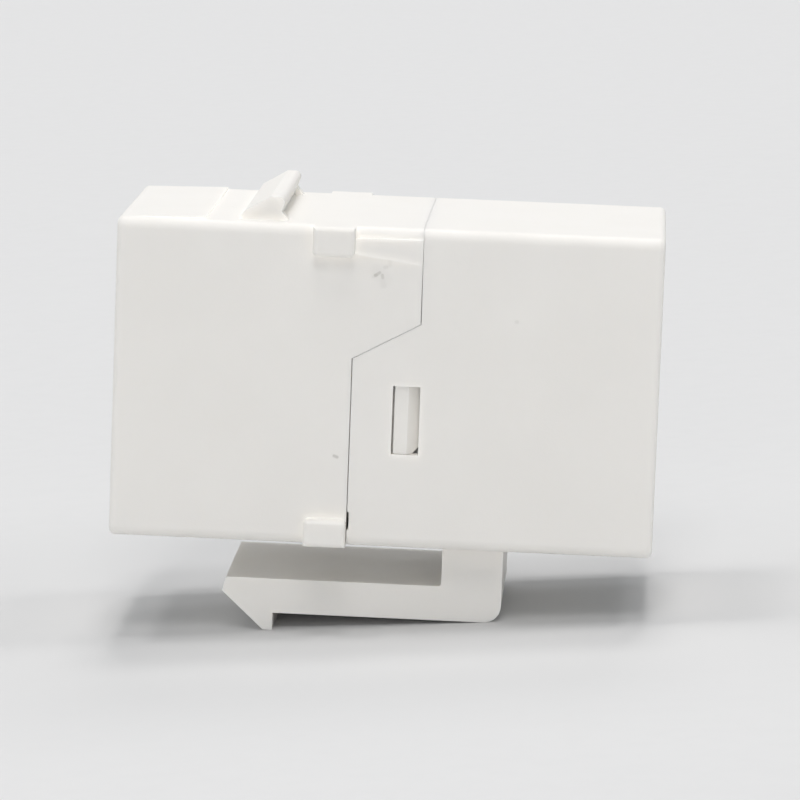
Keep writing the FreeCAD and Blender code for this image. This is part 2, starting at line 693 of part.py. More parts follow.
def build_contact(label, number, turned):
    """Sprung contact of flat strip, bent along its path; the tails stagger in two rows."""
    body = new_body(label)
    tail_row = "tail_low" if number % 2 else "tail_high"
    path = add_wire_path(body, tail_row)
    sketch = new_sketch(body, "section", "YZ_Plane", "board_x + board_thickness - tail_inset")
    add_outline(sketch, rectangle("-wire_width / 2", "wire_width / 2",
                                  f"{tail_row} - wire_thickness / 2", f"{tail_row} + wire_thickness / 2"))
    strip = body.newObject("PartDesign::AdditivePipe", f"{label}_strip")
    strip.Profile = sketch
    strip.Spine = (path, [])
    turn_round(body, turned, f"first_contact_y + {number} * contact_pitch")
    return body


sub_parts = [build_front_housing(), build_rear_housing()]
for port, is_turned in (("front", False), ("rear", True)):
    sub_parts.append(build_contact_block(f"{port}_contact_block", is_turned))
    for index in range(CONTACT_COUNT):
        sub_parts.append(build_contact(f"{port}_contact_{index + 1}", index, is_turned))
sub_parts.append(build_circuit_board())
doc.recompute()

for item in doc.Objects:
    if {"Invalid", "Error"} & set(item.State):
        raise RuntimeError(f"{item.Label} failed to build: {item.State}")
for body in sub_parts:
    if body.Shape.isNull() or not body.Shape.isValid():
        raise RuntimeError(f"{body.Label} has no valid shape")

os.makedirs("parts", exist_ok=True)
for body in sub_parts:
    body.Shape.exportStep(f"parts/{body.Label}.step")
    box = body.Shape.BoundBox
    print(f"{body.Label}: {len(body.Shape.Solids)} solid, {body.Shape.Volume:.2f} mm3, "
          f"x {box.XMin:.2f} to {box.XMax:.2f}, y {box.YMin:.2f} to {box.YMax:.2f}, "
          f"z {box.ZMin:.2f} to {box.ZMax:.2f}")
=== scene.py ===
"""Looks for an inline network coupler: two snapped housings, sprung contacts and a board.

Lengths are in metres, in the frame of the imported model: +X runs from the nose to the rear port,
+Z is up towards the fixed hook, and the snap window is on the side that faces -Y.
"""

import logging
import math
import sys
from dataclasses import dataclass, field
from enum import Enum
from typing import Any, Dict, List, Sequence, Tuple, Union

import bmesh
import bpy
import numpy as np
from mathutils import Matrix, Vector


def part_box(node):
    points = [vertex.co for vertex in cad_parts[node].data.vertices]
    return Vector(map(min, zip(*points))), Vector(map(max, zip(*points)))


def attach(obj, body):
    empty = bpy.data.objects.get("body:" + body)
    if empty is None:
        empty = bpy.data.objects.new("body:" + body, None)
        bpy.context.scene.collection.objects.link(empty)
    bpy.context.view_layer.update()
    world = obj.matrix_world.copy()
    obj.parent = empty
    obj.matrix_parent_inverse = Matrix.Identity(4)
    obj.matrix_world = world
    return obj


BODY = "root"
MM = 0.001
POLE_MERGE = 0.0001 * MM

Piece = bpy.types.Object
Socket = bpy.types.NodeSocket
Term = Union[Socket, float, Tuple[float, ...]]
Colour = Tuple[float, float, float]
Corner = Tuple[float, float, float]

log = logging.getLogger("coupler")


class Slot(Enum):
    """The record's material slot that the new pieces take."""

    HOUSING = "housing_plastic"


class Sum(Enum):
    """What a math node works out."""

    ADD = "ADD"
    TAKE = "SUBTRACT"
    TIMES = "MULTIPLY"
    OVER = "DIVIDE"
    LARGER = "MAXIMUM"
    SIZE = "ABSOLUTE"
    WITHIN = "LESS_THAN"
    WRAP = "PINGPONG"
    ROOT = "SQRT"


class VectorSum(Enum):
    """What a vector math node works out."""

    TAKE = "SUBTRACT"
    DOT = "DOT_PRODUCT"
    LENGTH = "LENGTH"


class Axis(Enum):
    """An axis of the frame, as the index of its coordinate."""

    ALONG = 0
    ACROSS = 1
    UP = 2


# ---------------------------------------------------------------- node trees


class Wiring:
    """Adds nodes to one shader tree and joins them."""

    def __init__(self, tree: bpy.types.NodeTree) -> None:
        """Starts on a tree.

        Args:
            tree: The tree that takes the nodes.
        """
        self.tree = tree
        self.count = 0

    def node(self, kind: str, **settings: Any) -> bpy.types.Node:
        """Adds one node, in the next place of a grid of seven columns.

        Args:
            kind: The node's type name.
            **settings: Properties to set on it.

        Returns:
            The new node.
        """
        made = self.tree.nodes.new(kind)
        made.location = (210.0 * (self.count % 7), -240.0 * (self.count // 7))
        self.count += 1
        for key, setting in settings.items():
            setattr(made, key, setting)
        return made

    def feed(self, target: Socket, term: Term) -> None:
        """Joins a socket to an input, or writes a number or a row of numbers to it.

        Args:
            target: The input.
            term: What goes into it.
        """
        if isinstance(term, bpy.types.NodeSocket):
            self.tree.links.new(term, target)
        elif isinstance(term, tuple) and len(term) == 3 and len(target.default_value) == 4:
            target.default_value = (*term, 1.0)
        else:
            target.default_value = term

    def sum_of(self, work: Sum, first: Term, second: Term = 0.0, kept: bool = False) -> Socket:
        """Works out one sum.

        Args:
            work: What is worked out.
            first: The first number.
            second: The second number, where the sum has one.
            kept: Whether the result is kept between 0 and 1.

        Returns:
            The socket that gives the result.
        """
        made = self.node("ShaderNodeMath", operation=work.value, use_clamp=kept)
        self.feed(made.inputs[0], first)
        self.feed(made.inputs[1], second)
        return made.outputs[0]

    def times(self, first: Term, second: Term) -> Socket:
        """Gives the product of two numbers."""
        return self.sum_of(Sum.TIMES, first, second)

    def vector_sum(
        self, work: VectorSum, first: Term, second: Term = (0.0, 0.0, 0.0)
    ) -> Socket:
        """Works out one sum of two vectors.

        Args:
            work: What is worked out.
            first: The first vector.
            second: The second vector, where the sum has one.

        Returns:
            The socket that gives the vector, or the number for a dot product or a length.
        """
        made = self.node("ShaderNodeVectorMath", operation=work.value)
        self.feed(made.inputs[0], first)
        self.feed(made.inputs[1], second)
        return made.outputs["Vector" if work is VectorSum.TAKE else "Value"]

    def scaled(self, vector: Term, factor: Term) -> Socket:
        """Gives a vector made longer by a factor."""
        made = self.node("ShaderNodeVectorMath", operation="SCALE")
        self.feed(made.inputs[0], vector)
        self.feed(made.inputs["Scale"], factor)
        return made.outputs["Vector"]

    def fade(
        self, number: Term, low: Term, high: Term, start: float = 0.0, end: float = 1.0
    ) -> Socket:
        """Turns a number smoothly from start at low to end at high.

        Args:
            number: The number read.
            low: Where the turn begins.
            high: Where it ends.
            start: What is given up to low.
            end: What is given from high on.

        Returns:
            The socket that gives the result.
        """
        made = self.node("ShaderNodeMapRange", interpolation_type="SMOOTHSTEP")
        for socket, term in zip(made.inputs[:5], (number, low, high, start, end)):
            self.feed(socket, term)
        return made.outputs[0]

    def fade_out(self, number: Term, low: Term, high: Term) -> Socket:
        """Turns a number smoothly from 1 at low to 0 at high."""
        return self.fade(number, low, high, 1.0, 0.0)

    def blend(self, share: Term, first: Term, second: Term) -> Socket:
        """Gives a colour between two.

        Args:
            share: The share of the second colour, 0 to 1.
            first: The first colour.
            second: The second colour.

        Returns:
            The socket that gives the colour.
        """
        made = self.node("ShaderNodeMix", data_type="RGBA")
        self.feed(made.inputs[0], share)
        self.feed(made.inputs[6], first)
        self.feed(made.inputs[7], second)
        return made.outputs[2]

    def noise(
        self, place: Term, scale: Term, detail: float = 2.0, rough: float = 0.5
    ) -> Socket:
        """Gives a noise between 0 and 1.

        Args:
            place: The point read.
            scale: How many features there are in a metre.
            detail: How many finer layers are added.
            rough: How strong the finer layers are.

        Returns:
            The socket that gives the noise.
        """
        made = self.node("ShaderNodeTexNoise")
        self.feed(made.inputs["Vector"], place)
        self.feed(made.inputs["Scale"], scale)
        self.feed(made.inputs["Detail"], detail)
        self.feed(made.inputs["Roughness"], rough)
        return made.outputs["Fac"]

    def coordinate(self, place: Term, axis: Axis) -> Socket:
        """Gives one coordinate of a point."""
        made = self.node("ShaderNodeSeparateXYZ")
        self.feed(made.inputs[0], place)
        return made.outputs[axis.value]

    def place(self) -> Socket:
        """Gives the point that is shaded, in the object's own coordinates."""
        return self.node("ShaderNodeTexCoord").outputs["Object"]

    def group(self, tree: bpy.types.NodeTree, **terms: Term) -> bpy.types.Node:
        """Places a shared effect.

        Args:
            tree: The effect's node group.
            **terms: Its inputs, with underscores for the spaces in their names.

        Returns:
            The group node.
        """
        made = self.node("ShaderNodeGroup", node_tree=tree)
        for key, term in terms.items():
            self.feed(made.inputs[key.replace("_", " ")], term)
        return made


# -------------------------------------------------------------- shared effects

FLOAT = "NodeSocketFloat"
VECTOR = "NodeSocketVector"


class Effect:
    """A shared effect: one node group with named inputs and outputs, built once."""

    name: str = ""
    inputs: Dict[str, str] = {}
    outputs: Dict[str, str] = {}

    def __init__(self) -> None:
        """Builds the group's sockets, and then its nodes."""
        self.tree = bpy.data.node_groups.new(self.name, "ShaderNodeTree")
        for label, kind in self.inputs.items():
            self.tree.interface.new_socket(name=label, in_out="INPUT", socket_type=kind)
        for label, kind in self.outputs.items():
            self.tree.interface.new_socket(name=label, in_out="OUTPUT", socket_type=kind)
        wires = Wiring(self.tree)
        given = wires.node("NodeGroupInput").outputs
        wanted = wires.node("NodeGroupOutput").inputs
        for label, socket in self.work(wires, given).items():
            wires.feed(wanted[label], socket)

    def work(self, wires: Wiring, given: Any) -> Dict[str, Socket]:
        """Builds the group's nodes.

        Args:
            wires: What adds the nodes.
            given: The group's inputs, by name.

        Returns:
            The socket that feeds each output, by the output's name.
        """
        raise NotImplementedError


class MouldGrain(Effect):
    """The skin that a spark-finished mould leaves: fine pits, soft ripples and slow clouds."""

    name = "Mould grain"
    inputs = {"Place": VECTOR, "Pits": FLOAT, "Ripples": FLOAT, "Clouds": FLOAT}
    outputs = {"Height": FLOAT, "Cloud": FLOAT}
    pit_share = 0.66
    ripple_share = 0.34

    def work(self, wires: Wiring, given: Any) -> Dict[str, Socket]:
        """Height adds the shares of pits and ripples, and Cloud is a slow noise made stronger."""
        pits = wires.noise(given["Place"], given["Pits"], detail=2.0, rough=0.6)
        ripples = wires.noise(given["Place"], given["Ripples"], detail=1.0)
        fine = wires.times(pits, self.pit_share)
        broad = wires.times(ripples, self.ripple_share)
        cloud = wires.noise(given["Place"], given["Clouds"], detail=3.0, rough=0.45)
        return {
            "Height": wires.sum_of(Sum.ADD, fine, broad),
            "Cloud": wires.fade(cloud, low=0.3, high=0.7),
        }


class EdgeLine(Effect):
    """Where a surface turns a corner: the normal of a rounded corner leaves the flat one."""

    name = "Edge line"
    inputs = {"Reach": FLOAT, "Full": FLOAT}
    outputs = {"Edge": FLOAT}
    samples = 4

    def work(self, wires: Wiring, given: Any) -> Dict[str, Socket]:
        """Edge is 0 on a flat face, and 1 where the normals' dot product has fallen by Full."""
        rounded = wires.node("ShaderNodeBevel", samples=self.samples)
        wires.feed(rounded.inputs["Radius"], given["Reach"])
        flat = wires.node("ShaderNodeNewGeometry").outputs["Normal"]
        agree = wires.vector_sum(VectorSum.DOT, rounded.outputs[0], flat)
        fallen = wires.sum_of(Sum.TAKE, 1.0, agree)
        return {"Edge": wires.sum_of(Sum.OVER, fallen, given["Full"], kept=True)}


class LineMark(Effect):
    """A stroke or a dot on a surface, from one point to another."""

    name = "Line mark"
    inputs = {
        "Place": VECTOR,
        "Start": VECTOR,
        "End": VECTOR,
        "Half width": FLOAT,
        "Feather": FLOAT,
    }
    outputs = {"Mark": FLOAT}

    def work(self, wires: Wiring, given: Any) -> Dict[str, Socket]:
        """Mark falls from 1 to 0 over Feather, outside Half width from the line.

        The nearest point of the line is its start and a share of its run. That share is the dot
        product of the run with the way from the start to the point, over the run's dot product
        with itself, kept between 0 and 1.
        """
        run = wires.vector_sum(VectorSum.TAKE, given["End"], given["Start"])
        way = wires.vector_sum(VectorSum.TAKE, given["Place"], given["Start"])
        reach = wires.vector_sum(VectorSum.DOT, way, run)
        whole = wires.vector_sum(VectorSum.DOT, run, run)
        share = wires.sum_of(Sum.OVER, reach, whole, kept=True)
        away = wires.vector_sum(VectorSum.TAKE, way, wires.scaled(run, share))
        distance = wires.vector_sum(VectorSum.LENGTH, away)
        limit = wires.sum_of(Sum.ADD, given["Half width"], given["Feather"])
        return {"Mark": wires.fade_out(distance, given["Half width"], limit)}


class DustSpecks(Effect):
    """Sparse small specks: the hearts of some cells of a cell pattern."""

    name = "Dust specks"
    inputs = {"Place": VECTOR, "Cells": FLOAT, "Share": FLOAT, "Size": FLOAT}
    outputs = {"Specks": FLOAT}

    def work(self, wires: Wiring, given: Any) -> Dict[str, Socket]:
        """A cell has a speck where its own random number is under Share. It ends at Size."""
        cells = wires.node("ShaderNodeTexVoronoi", feature="F1")
        wires.feed(cells.inputs["Vector"], given["Place"])
        wires.feed(cells.inputs["Scale"], given["Cells"])
        luck = wires.coordinate(cells.outputs["Color"], Axis.ALONG)
        chosen = wires.sum_of(Sum.WITHIN, luck, given["Share"])
        near = wires.fade_out(cells.outputs["Distance"], 0.0, given["Size"])
        return {"Specks": wires.times(chosen, near)}


class DrawnMetal(Effect):
    """The fine lengthwise lines of drawn wire or rolled copper."""

    name = "Drawn metal"
    inputs = {"Place": VECTOR, "Lines": FLOAT, "Stretch": FLOAT}
    outputs = {"Height": FLOAT, "Streak": FLOAT}

    def work(self, wires: Wiring, given: Any) -> Dict[str, Socket]:
        """The point's X and Z are divided by Stretch, so a noise read there lies that way."""
        parts = wires.node("ShaderNodeSeparateXYZ")
        wires.feed(parts.inputs[0], given["Place"])
        joined = wires.node("ShaderNodeCombineXYZ")
        wires.feed(joined.inputs[0], wires.sum_of(Sum.OVER, parts.outputs[0], given["Stretch"]))
        wires.feed(joined.inputs[1], parts.outputs[1])
        wires.feed(joined.inputs[2], wires.sum_of(Sum.OVER, parts.outputs[2], given["Stretch"]))
        lines = wires.noise(joined.outputs[0], given["Lines"], detail=2.0, rough=0.6)
        return {"Height": lines, "Streak": wires.fade(lines, low=0.35, high=0.65)}


class PadRow(Effect):
    """A row of round copper pads that repeats along Y."""

    name = "Pad row"
    inputs = {"Place": VECTOR, "First": VECTOR, "Step": FLOAT, "Radius": FLOAT}
    outputs = {"Pad": FLOAT, "Rim": FLOAT}
    soft_edge = 1.08
    rim_share = 0.2

    def work(self, wires: Wiring, given: Any) -> Dict[str, Socket]:
        """Pad is 1 within Radius of the nearest pad's middle, and Rim is a thin ring there.

        The way along Y to the nearest middle is the way to the first one, folded back and forth
        over half a step.
        """
        way = wires.node("ShaderNodeSeparateXYZ")
        from_first = wires.vector_sum(VectorSum.TAKE, given["Place"], given["First"])
        wires.feed(way.inputs[0], from_first)
        half = wires.times(given["Step"], 0.5)
        folded = wires.sum_of(Sum.WRAP, way.outputs[1], half)
        height = way.outputs[2]
        squares = wires.sum_of(
            Sum.ADD, wires.times(folded, folded), wires.times(height, height)
        )
        distance = wires.sum_of(Sum.ROOT, squares)
        soft = wires.times(given["Radius"], self.soft_edge)
        gap = wires.sum_of(Sum.SIZE, wires.sum_of(Sum.TAKE, distance, given["Radius"]))
        rim_width = wires.times(given["Radius"], self.rim_share)
        return {
            "Pad": wires.fade_out(distance, given["Radius"], soft),
            "Rim": wires.fade_out(gap, 0.0, rim_width),
        }


@dataclass(frozen=True)
class Effects:
    """The shared effects that the finishes place."""

    grain: MouldGrain = field(default_factory=MouldGrain)
    edge: EdgeLine = field(default_factory=EdgeLine)
    mark: LineMark = field(default_factory=LineMark)
    dust: DustSpecks = field(default_factory=DustSpecks)
    drawn: DrawnMetal = field(default_factory=DrawnMetal)
    pads: PadRow = field(default_factory=PadRow)


# ------------------------------------------------------------------ finishes


def new_material(name: str) -> Tuple[bpy.types.Material, Wiring, bpy.types.Node]:
    """Makes a material with one Principled shader.

    Args:
        name: The material's name.

    Returns:
        The material, what adds its nodes, and its shader.
    """
    material = bpy.data.materials.new(name)
    material.use_nodes = True
    material.node_tree.nodes.clear()
    wires = Wiring(material.node_tree)
    shader = wires.node("ShaderNodeBsdfPrincipled")
    surface = wires.node("ShaderNodeOutputMaterial")
    wires.feed(surface.inputs["Surface"], shader.outputs[0])
    return material, wires, shader


@dataclass(frozen=True)
class Relief:
    """How far a material's height stands out: its depth in metres, and the share that shows."""

    depth: float
    strength: float

    def add(self, wires: Wiring, shader: bpy.types.Node, height: Term) -> None:
        """Feeds a height to a shader's normal.

        Args:
            wires: What adds the node.
            shader: The shader.
            height: The height, 0 to 1.
        """
        bump = wires.node("ShaderNodeBump")
        bump.inputs["Distance"].default_value = self.depth
        bump.inputs["Strength"].default_value = self.strength
        wires.feed(bump.inputs["Height"], height)
        wires.feed(shader.inputs["Normal"], bump.outputs[0])


@dataclass(frozen=True)
class Stroke:
    """A scratch, a scuff or a speck of dirt on a face, in millimetres."""

    start: Corner
    end: Corner
    half_width: float
    feather: float
    depth: float


@dataclass(frozen=True)
class MouldedPlastic:
    """White moulded plastic that lets a little light through.

    The colours are the plain surface, its clouds, the painted highlight on its corners and its
    dirt. Cloudy roughness is what the clouds add to the roughness, and the shares say how much of
    an effect shows.
    """

    name: str
    pale: Colour
    deep: Colour
    # The corner colour is paler than the plain surface: a painted highlight, as if the corners
    # caught light.
    edge: Colour
    dirt: Colour
    roughness: float
    cloudy_roughness: float
    see_in: float
    see_in_depth: float
    relief: Relief
    strokes: Tuple[Stroke, ...] = ()
    see_in_tint: Colour = (1.0, 0.92, 0.8)
    refraction: float = 1.49
    pits: float = 11000.0
    ripples: float = 1700.0
    clouds: float = 190.0
    edge_reach: float = 0.12 * MM
    edge_full: float = 0.12
    painted_highlight_share: float = 0.5
    edge_polish: float = 0.06
    dust_cells: float = 420.0
    dust_count: float = 0.05
    dust_size: float = 0.035
    dust_share: float = 0.35
    soil_roughness: float = 0.3
    soil_depth: float = 0.8

    def material(self, effects: Effects) -> bpy.types.Material:
        """Makes the material.

        Args:
            effects: The shared effects.

        Returns:
            The material.
        """
        made, wires, shader = new_material(self.name)
        place = wires.place()
        grain = wires.group(
            effects.grain.tree,
            Place=place,
            Pits=self.pits,
            Ripples=self.ripples,
            Clouds=self.clouds,
        )
        edge = wires.group(effects.edge.tree, Reach=self.edge_reach, Full=self.edge_full)
        edge_line = edge.outputs["Edge"]
        dust = wires.group(
            effects.dust.tree,
            Place=place,
            Cells=self.dust_cells,
            Share=self.dust_count,
            Size=self.dust_size,
        )
        body = wires.blend(grain.outputs["Cloud"], self.pale, self.deep)
        # Painted highlight: the corners are blended towards the paler corner colour.
        highlighted = wires.blend(wires.times(edge_line, self.painted_highlight_share), body, self.edge)
        specks = wires.times(dust.outputs["Specks"], self.dust_share)
        specked = wires.blend(specks, highlighted, self.dirt)
        soiled = self.soil(wires, effects, place)
        wires.feed(shader.inputs["Base Color"], wires.blend(soiled, specked, self.dirt))
        spread = wires.times(grain.outputs["Cloud"], self.cloudy_roughness)
        clouded = wires.sum_of(Sum.ADD, spread, self.roughness)
        polish = wires.sum_of(Sum.TAKE, clouded, wires.times(edge_line, self.edge_polish))
        rough = wires.sum_of(Sum.ADD, polish, wires.times(soiled, self.soil_roughness))
        wires.feed(shader.inputs["Roughness"], rough)
        shader.subsurface_method = "BURLEY"
        shader.inputs["Subsurface Weight"].default_value = self.see_in
        shader.inputs["Subsurface Radius"].default_value = self.see_in_tint
        shader.inputs["Subsurface Scale"].default_value = self.see_in_depth
        shader.inputs["IOR"].default_value = self.refraction
        cut = wires.times(soiled, self.soil_depth)
        self.relief.add(wires, shader, wires.sum_of(Sum.TAKE, grain.outputs["Height"], cut))
        return made

    def soil(self, wires: Wiring, effects: Effects, place: Term) -> Term:
        """Adds up the strokes: the deepest one shows at each point.

        Args:
            wires: What adds the nodes.
            effects: The shared effects.
            place: The point that is shaded.

        Returns:
            What gives the depth of soiling, 0 to 1.
        """
        deepest: Term = 0.0
        for stroke in self.strokes:
            mark = wires.group(
                effects.mark.tree,
                Place=place,
                Start=tuple(MM * number for number in stroke.start),
                End=tuple(MM * number for number in stroke.end),
                Half_width=stroke.half_width * MM,
                Feather=stroke.feather * MM,
            )
            shown = wires.times(mark.outputs["Mark"], stroke.depth)
            deepest = wires.sum_of(Sum.LARGER, deepest, shown)
        return deepest


@dataclass(frozen=True)
class PlatedSpring:
    """Gold on drawn spring wire, with bright tin on the tails that go through the board.

    The tin reaches so far along X to both sides of its middle. Dull and tin roughness are what
    clouds of dullness and the tin add to the roughness.
    """

    name: str
    gold: Colour
    rubbed: Colour
    tin: Colour
    roughness: float
    tail_middle: float
    tail_reach: float
    tail_full: float = 0.9
    lines: float = 24000.0
    stretch: float = 14.0
    edge_reach: float = 0.05 * MM
    edge_full: float = 0.25
    clouds: float = 900.0
    wear: float = 0.35
    dull_roughness: float = 0.12
    tin_roughness: float = 0.12
    relief: Relief = Relief(0.004 * MM, 0.4)

    def material(self, effects: Effects) -> bpy.types.Material:
        """Makes the material.

        Args:
            effects: The shared effects.

        Returns:
            The material.
        """
        made, wires, shader = new_material(self.name)
        place = wires.place()
        drawn = wires.group(
            effects.drawn.tree, Place=place, Lines=self.lines, Stretch=self.stretch
        )
        edge = wires.group(effects.edge.tree, Reach=self.edge_reach, Full=self.edge_full)
        dull_and_painted_shadow = wires.noise(place, self.clouds, detail=3.0)
        along = wires.coordinate(place, Axis.ALONG)
        away = wires.sum_of(Sum.SIZE, wires.sum_of(Sum.TAKE, along, self.tail_middle))
        tail = wires.fade_out(away, self.tail_reach * self.tail_full, self.tail_reach)
        worn = wires.times(drawn.outputs["Streak"], self.wear)
        bare = wires.sum_of(Sum.LARGER, worn, edge.outputs["Edge"])
        gold = wires.blend(bare, self.gold, self.rubbed)
        wires.feed(shader.inputs["Base Color"], wires.blend(tail, gold, self.tin))
        shader.inputs["Metallic"].default_value = 1.0
        clouded = wires.sum_of(Sum.ADD, wires.times(dull_and_painted_shadow, self.dull_roughness), self.roughness)
        rough = wires.sum_of(Sum.ADD, clouded, wires.times(tail, self.tin_roughness))
        wires.feed(shader.inputs["Roughness"], rough)
        self.relief.add(wires, shader, drawn.outputs["Height"])
        return made


@dataclass(frozen=True)
class MaskedBoard:
    """Green mask over glass laminate, with pads, and a track under it between front and rear.

    A face is where the normal's X is past on_face, and the rest is the board's cut edge.
    """

    name: str
    mask: Colour
    track: Colour
    laminate: Colour
    glass: Colour
    copper: Colour
    pad_firsts: Tuple[Corner, ...]
    pad_step: float
    pad_radius: float
    track_half: float
    track_end: float
    track_edge: float = 1.3
    track_share: float = 0.8
    lines: float = 9000.0
    stretch: float = 6.0
    streak_share: float = 0.3
    weave: float = 2600.0
    on_face: Tuple[float, float] = (0.4, 0.6)
    cut_roughness: float = 0.7
    face_roughness: float = 0.32
    coat_share: float = 0.5
    coat_roughness: float = 0.15
    relief: Relief = Relief(0.03 * MM, 0.6)

    def material(self, effects: Effects) -> bpy.types.Material:
        """Makes the material.

        Args:
            effects: The shared effects.

        Returns:
            The material.
        """
        made, wires, shader = new_material(self.name)
        place = wires.place()
        pads, rims = self.pads(wires, effects, place)
        tracks = self.tracks(wires, place)
        drawn = wires.group(
            effects.drawn.tree, Place=place, Lines=self.lines, Stretch=self.stretch
        )
        green = wires.blend(wires.times(tracks, self.track_share), self.mask, self.track)
        streak = wires.times(drawn.outputs["Streak"], self.streak_share)
        face = wires.blend(pads, green, wires.blend(streak, self.copper, self.track))
        weave = wires.node("ShaderNodeTexWave", wave_type="BANDS", bands_direction="X")
        wires.feed(weave.inputs["Vector"], place)
        wires.feed(weave.inputs["Scale"], self.weave)
        cut = wires.blend(weave.outputs["Fac"], self.laminate, self.glass)
        normal = wires.node("ShaderNodeNewGeometry").outputs["Normal"]
        flatness = wires.sum_of(Sum.SIZE, wires.coordinate(normal, Axis.ALONG))
        on_face = wires.fade(flatness, *self.on_face)
        wires.feed(shader.inputs["Base Color"], wires.blend(on_face, cut, face))
        bare = wires.times(pads, on_face)
        wires.feed(shader.inputs["Metallic"], bare)
        rough = wires.fade(on_face, 0.0, 1.0, self.cut_roughness, self.face_roughness)
        wires.feed(shader.inputs["Roughness"], rough)
        coated = wires.sum_of(Sum.TAKE, on_face, bare)
        wires.feed(shader.inputs["Coat Weight"], wires.times(coated, self.coat_share))
        shader.inputs["Coat Roughness"].default_value = self.coat_roughness
        self.relief.add(wires, shader, wires.sum_of(Sum.ADD, tracks, rims, kept=True))
        return made

    def pads(self, wires: Wiring, effects: Effects, place: Term) -> Tuple[Term, Term]:
        """Adds up the rows of pads.

        Args:
            wires: What adds the nodes.
            effects: The shared effects.
            place: The point that is shaded.

        Returns:
            What gives the pads, and what gives their rims.
        """
        pads: Term = 0.0
        rims: Term = 0.0
        for first in self.pad_firsts:
            row = wires.group(
                effects.pads.tree,
                Place=place,
                First=first,
                Step=self.pad_step,
                Radius=self.pad_radius,
            )
            pads = wires.sum_of(Sum.LARGER, pads, row.outputs["Pad"])
            rims = wires.sum_of(Sum.LARGER, rims, row.outputs["Rim"])
        return pads, rims

    def tracks(self, wires: Wiring, place: Term) -> Socket:
        """Gives the tracks: stripes along Z, half a pad step apart, to the outermost rows.

        The way across from the first pad is folded back and forth over a quarter of a step.

        Args:
            wires: What adds the nodes.
            place: The point that is shaded.

        Returns:
            The socket that is 1 on a track.
        """
        first = self.pad_firsts[0][1]
        across = wires.sum_of(Sum.TAKE, wires.coordinate(place, Axis.ACROSS), first)
        folded = wires.sum_of(Sum.WRAP, across, self.pad_step / 4)
        stripe = wires.fade_out(folded, self.track_half, self.track_half * self.track_edge)
        height = wires.sum_of(Sum.SIZE, wires.coordinate(place, Axis.UP))
        inside = wires.sum_of(Sum.WITHIN, height, self.track_end)
        return wires.times(stripe, inside)


@dataclass(frozen=True)
class StudioPaper:
    """The pale sheet that the part stands on, with a painted shadow darkening it near the part.
    It isn't seen from below.

    The painted shadow's colour holds out to the first distance from the origin, and is gone at
    the second.
    """

    name: str = "studio paper"
    tone: Colour = (0.806, 0.807, 0.808)
    fibre: Colour = (0.797, 0.798, 0.799)
    # The darker colour below is a painted shadow around the part, where its soft shadow falls on
    # the paper.
    dull_and_painted_shadow: Colour = (0.74, 0.742, 0.744)
    painted_shadow_full_to: float = 18.0 * MM
    painted_shadow_gone_at: float = 45.0 * MM
    fibres: float = 600.0
    roughness: float = 0.95
    relief: Relief = Relief(0.02 * MM, 0.08)

    def material(self) -> bpy.types.Material:
        """Makes the material.

        Returns:
            The material.
        """
        made, wires, shader = new_material(self.name)
        place = wires.place()
        fibres = wires.noise(place, self.fibres, detail=4.0, rough=0.6)
        paper = wires.blend(wires.fade(fibres, low=0.35, high=0.75), self.tone, self.fibre)
        # Painted shadow: the paper is blended to the darker colour near the origin, around the
        # part.
        away = wires.vector_sum(VectorSum.LENGTH, place)
        near = wires.fade_out(away, self.painted_shadow_full_to, self.painted_shadow_gone_at)
        wires.feed(shader.inputs["Base Color"], wires.blend(near, paper, self.dull_and_painted_shadow))
        shader.inputs["Roughness"].default_value = self.roughness
        shader.inputs["Specular IOR Level"].default_value = 0.0
        self.relief.add(wires, shader, fibres)
        clear = wires.node("ShaderNodeBsdfTransparent")
        sides = wires.node("ShaderNodeMixShader")
        behind = wires.node("ShaderNodeNewGeometry").outputs["Backfacing"]
        wires.feed(sides.inputs[0], behind)
        wires.feed(sides.inputs[1], shader.outputs[0])
        wires.feed(sides.inputs[2], clear.outputs[0])
        surface = next(node for node in made.node_tree.nodes if node.type == "OUTPUT_MATERIAL")
        wires.feed(surface.inputs["Surface"], sides.outputs[0])
        return made


# -------------------------------------------------------------------- meshes


def sheet_mesh(name: str, points: np.ndarray, joined: bool = False) -> Piece:
    """Makes a mesh object from a grid of points.

    A quad joins point (row, column) to the next point of its row and to the two over them, and
    each row's last point is joined to its first where the rows are closed. A closed row that is
    all one point becomes one vertex, so a pole has no hole.

    Args:
        name: The object's name.
        points: The points, as rows by columns by 3.
        joined: Whether each row is a closed ring.

    Returns:
        The object, linked to the scene, at the origin.
    """
    rows, columns = points.shape[:2]
    index = np.arange(rows * columns).reshape(rows, columns)
    after = np.roll(index, -1, axis=1) if joined else index[:, 1:]
    before = index if joined else index[:, :-1]
    corners = [before[:-1], after[:-1], after[1:], before[1:]]
    quads = np.stack(corners, axis=-1).reshape(-1, 4)
    mesh = bpy.data.meshes.new(name)
    mesh.vertices.add(rows * columns)
    mesh.vertices.foreach_set("co", points.reshape(-1).astype(np.float32))
    mesh.loops.add(quads.size)
    mesh.loops.foreach_set("vertex_index", quads.reshape(-1).astype(np.int32))
    mesh.polygons.add(len(quads))
    mesh.polygons.foreach_set("loop_start", np.arange(0, quads.size, 4, dtype=np.int32))
    mesh.polygons.foreach_set("use_smooth", np.ones(len(quads), dtype=bool))
    mesh.update(calc_edges=True)
    mesh.validate()
    if joined:
        merged = bmesh.new()
        merged.from_mesh(mesh)
        bmesh.ops.remove_doubles(merged, verts=merged.verts, dist=POLE_MERGE)
        merged.to_mesh(mesh)
        merged.free()
    piece = bpy.data.objects.new(name, mesh)
    bpy.context.scene.collection.objects.link(piece)
    return piece


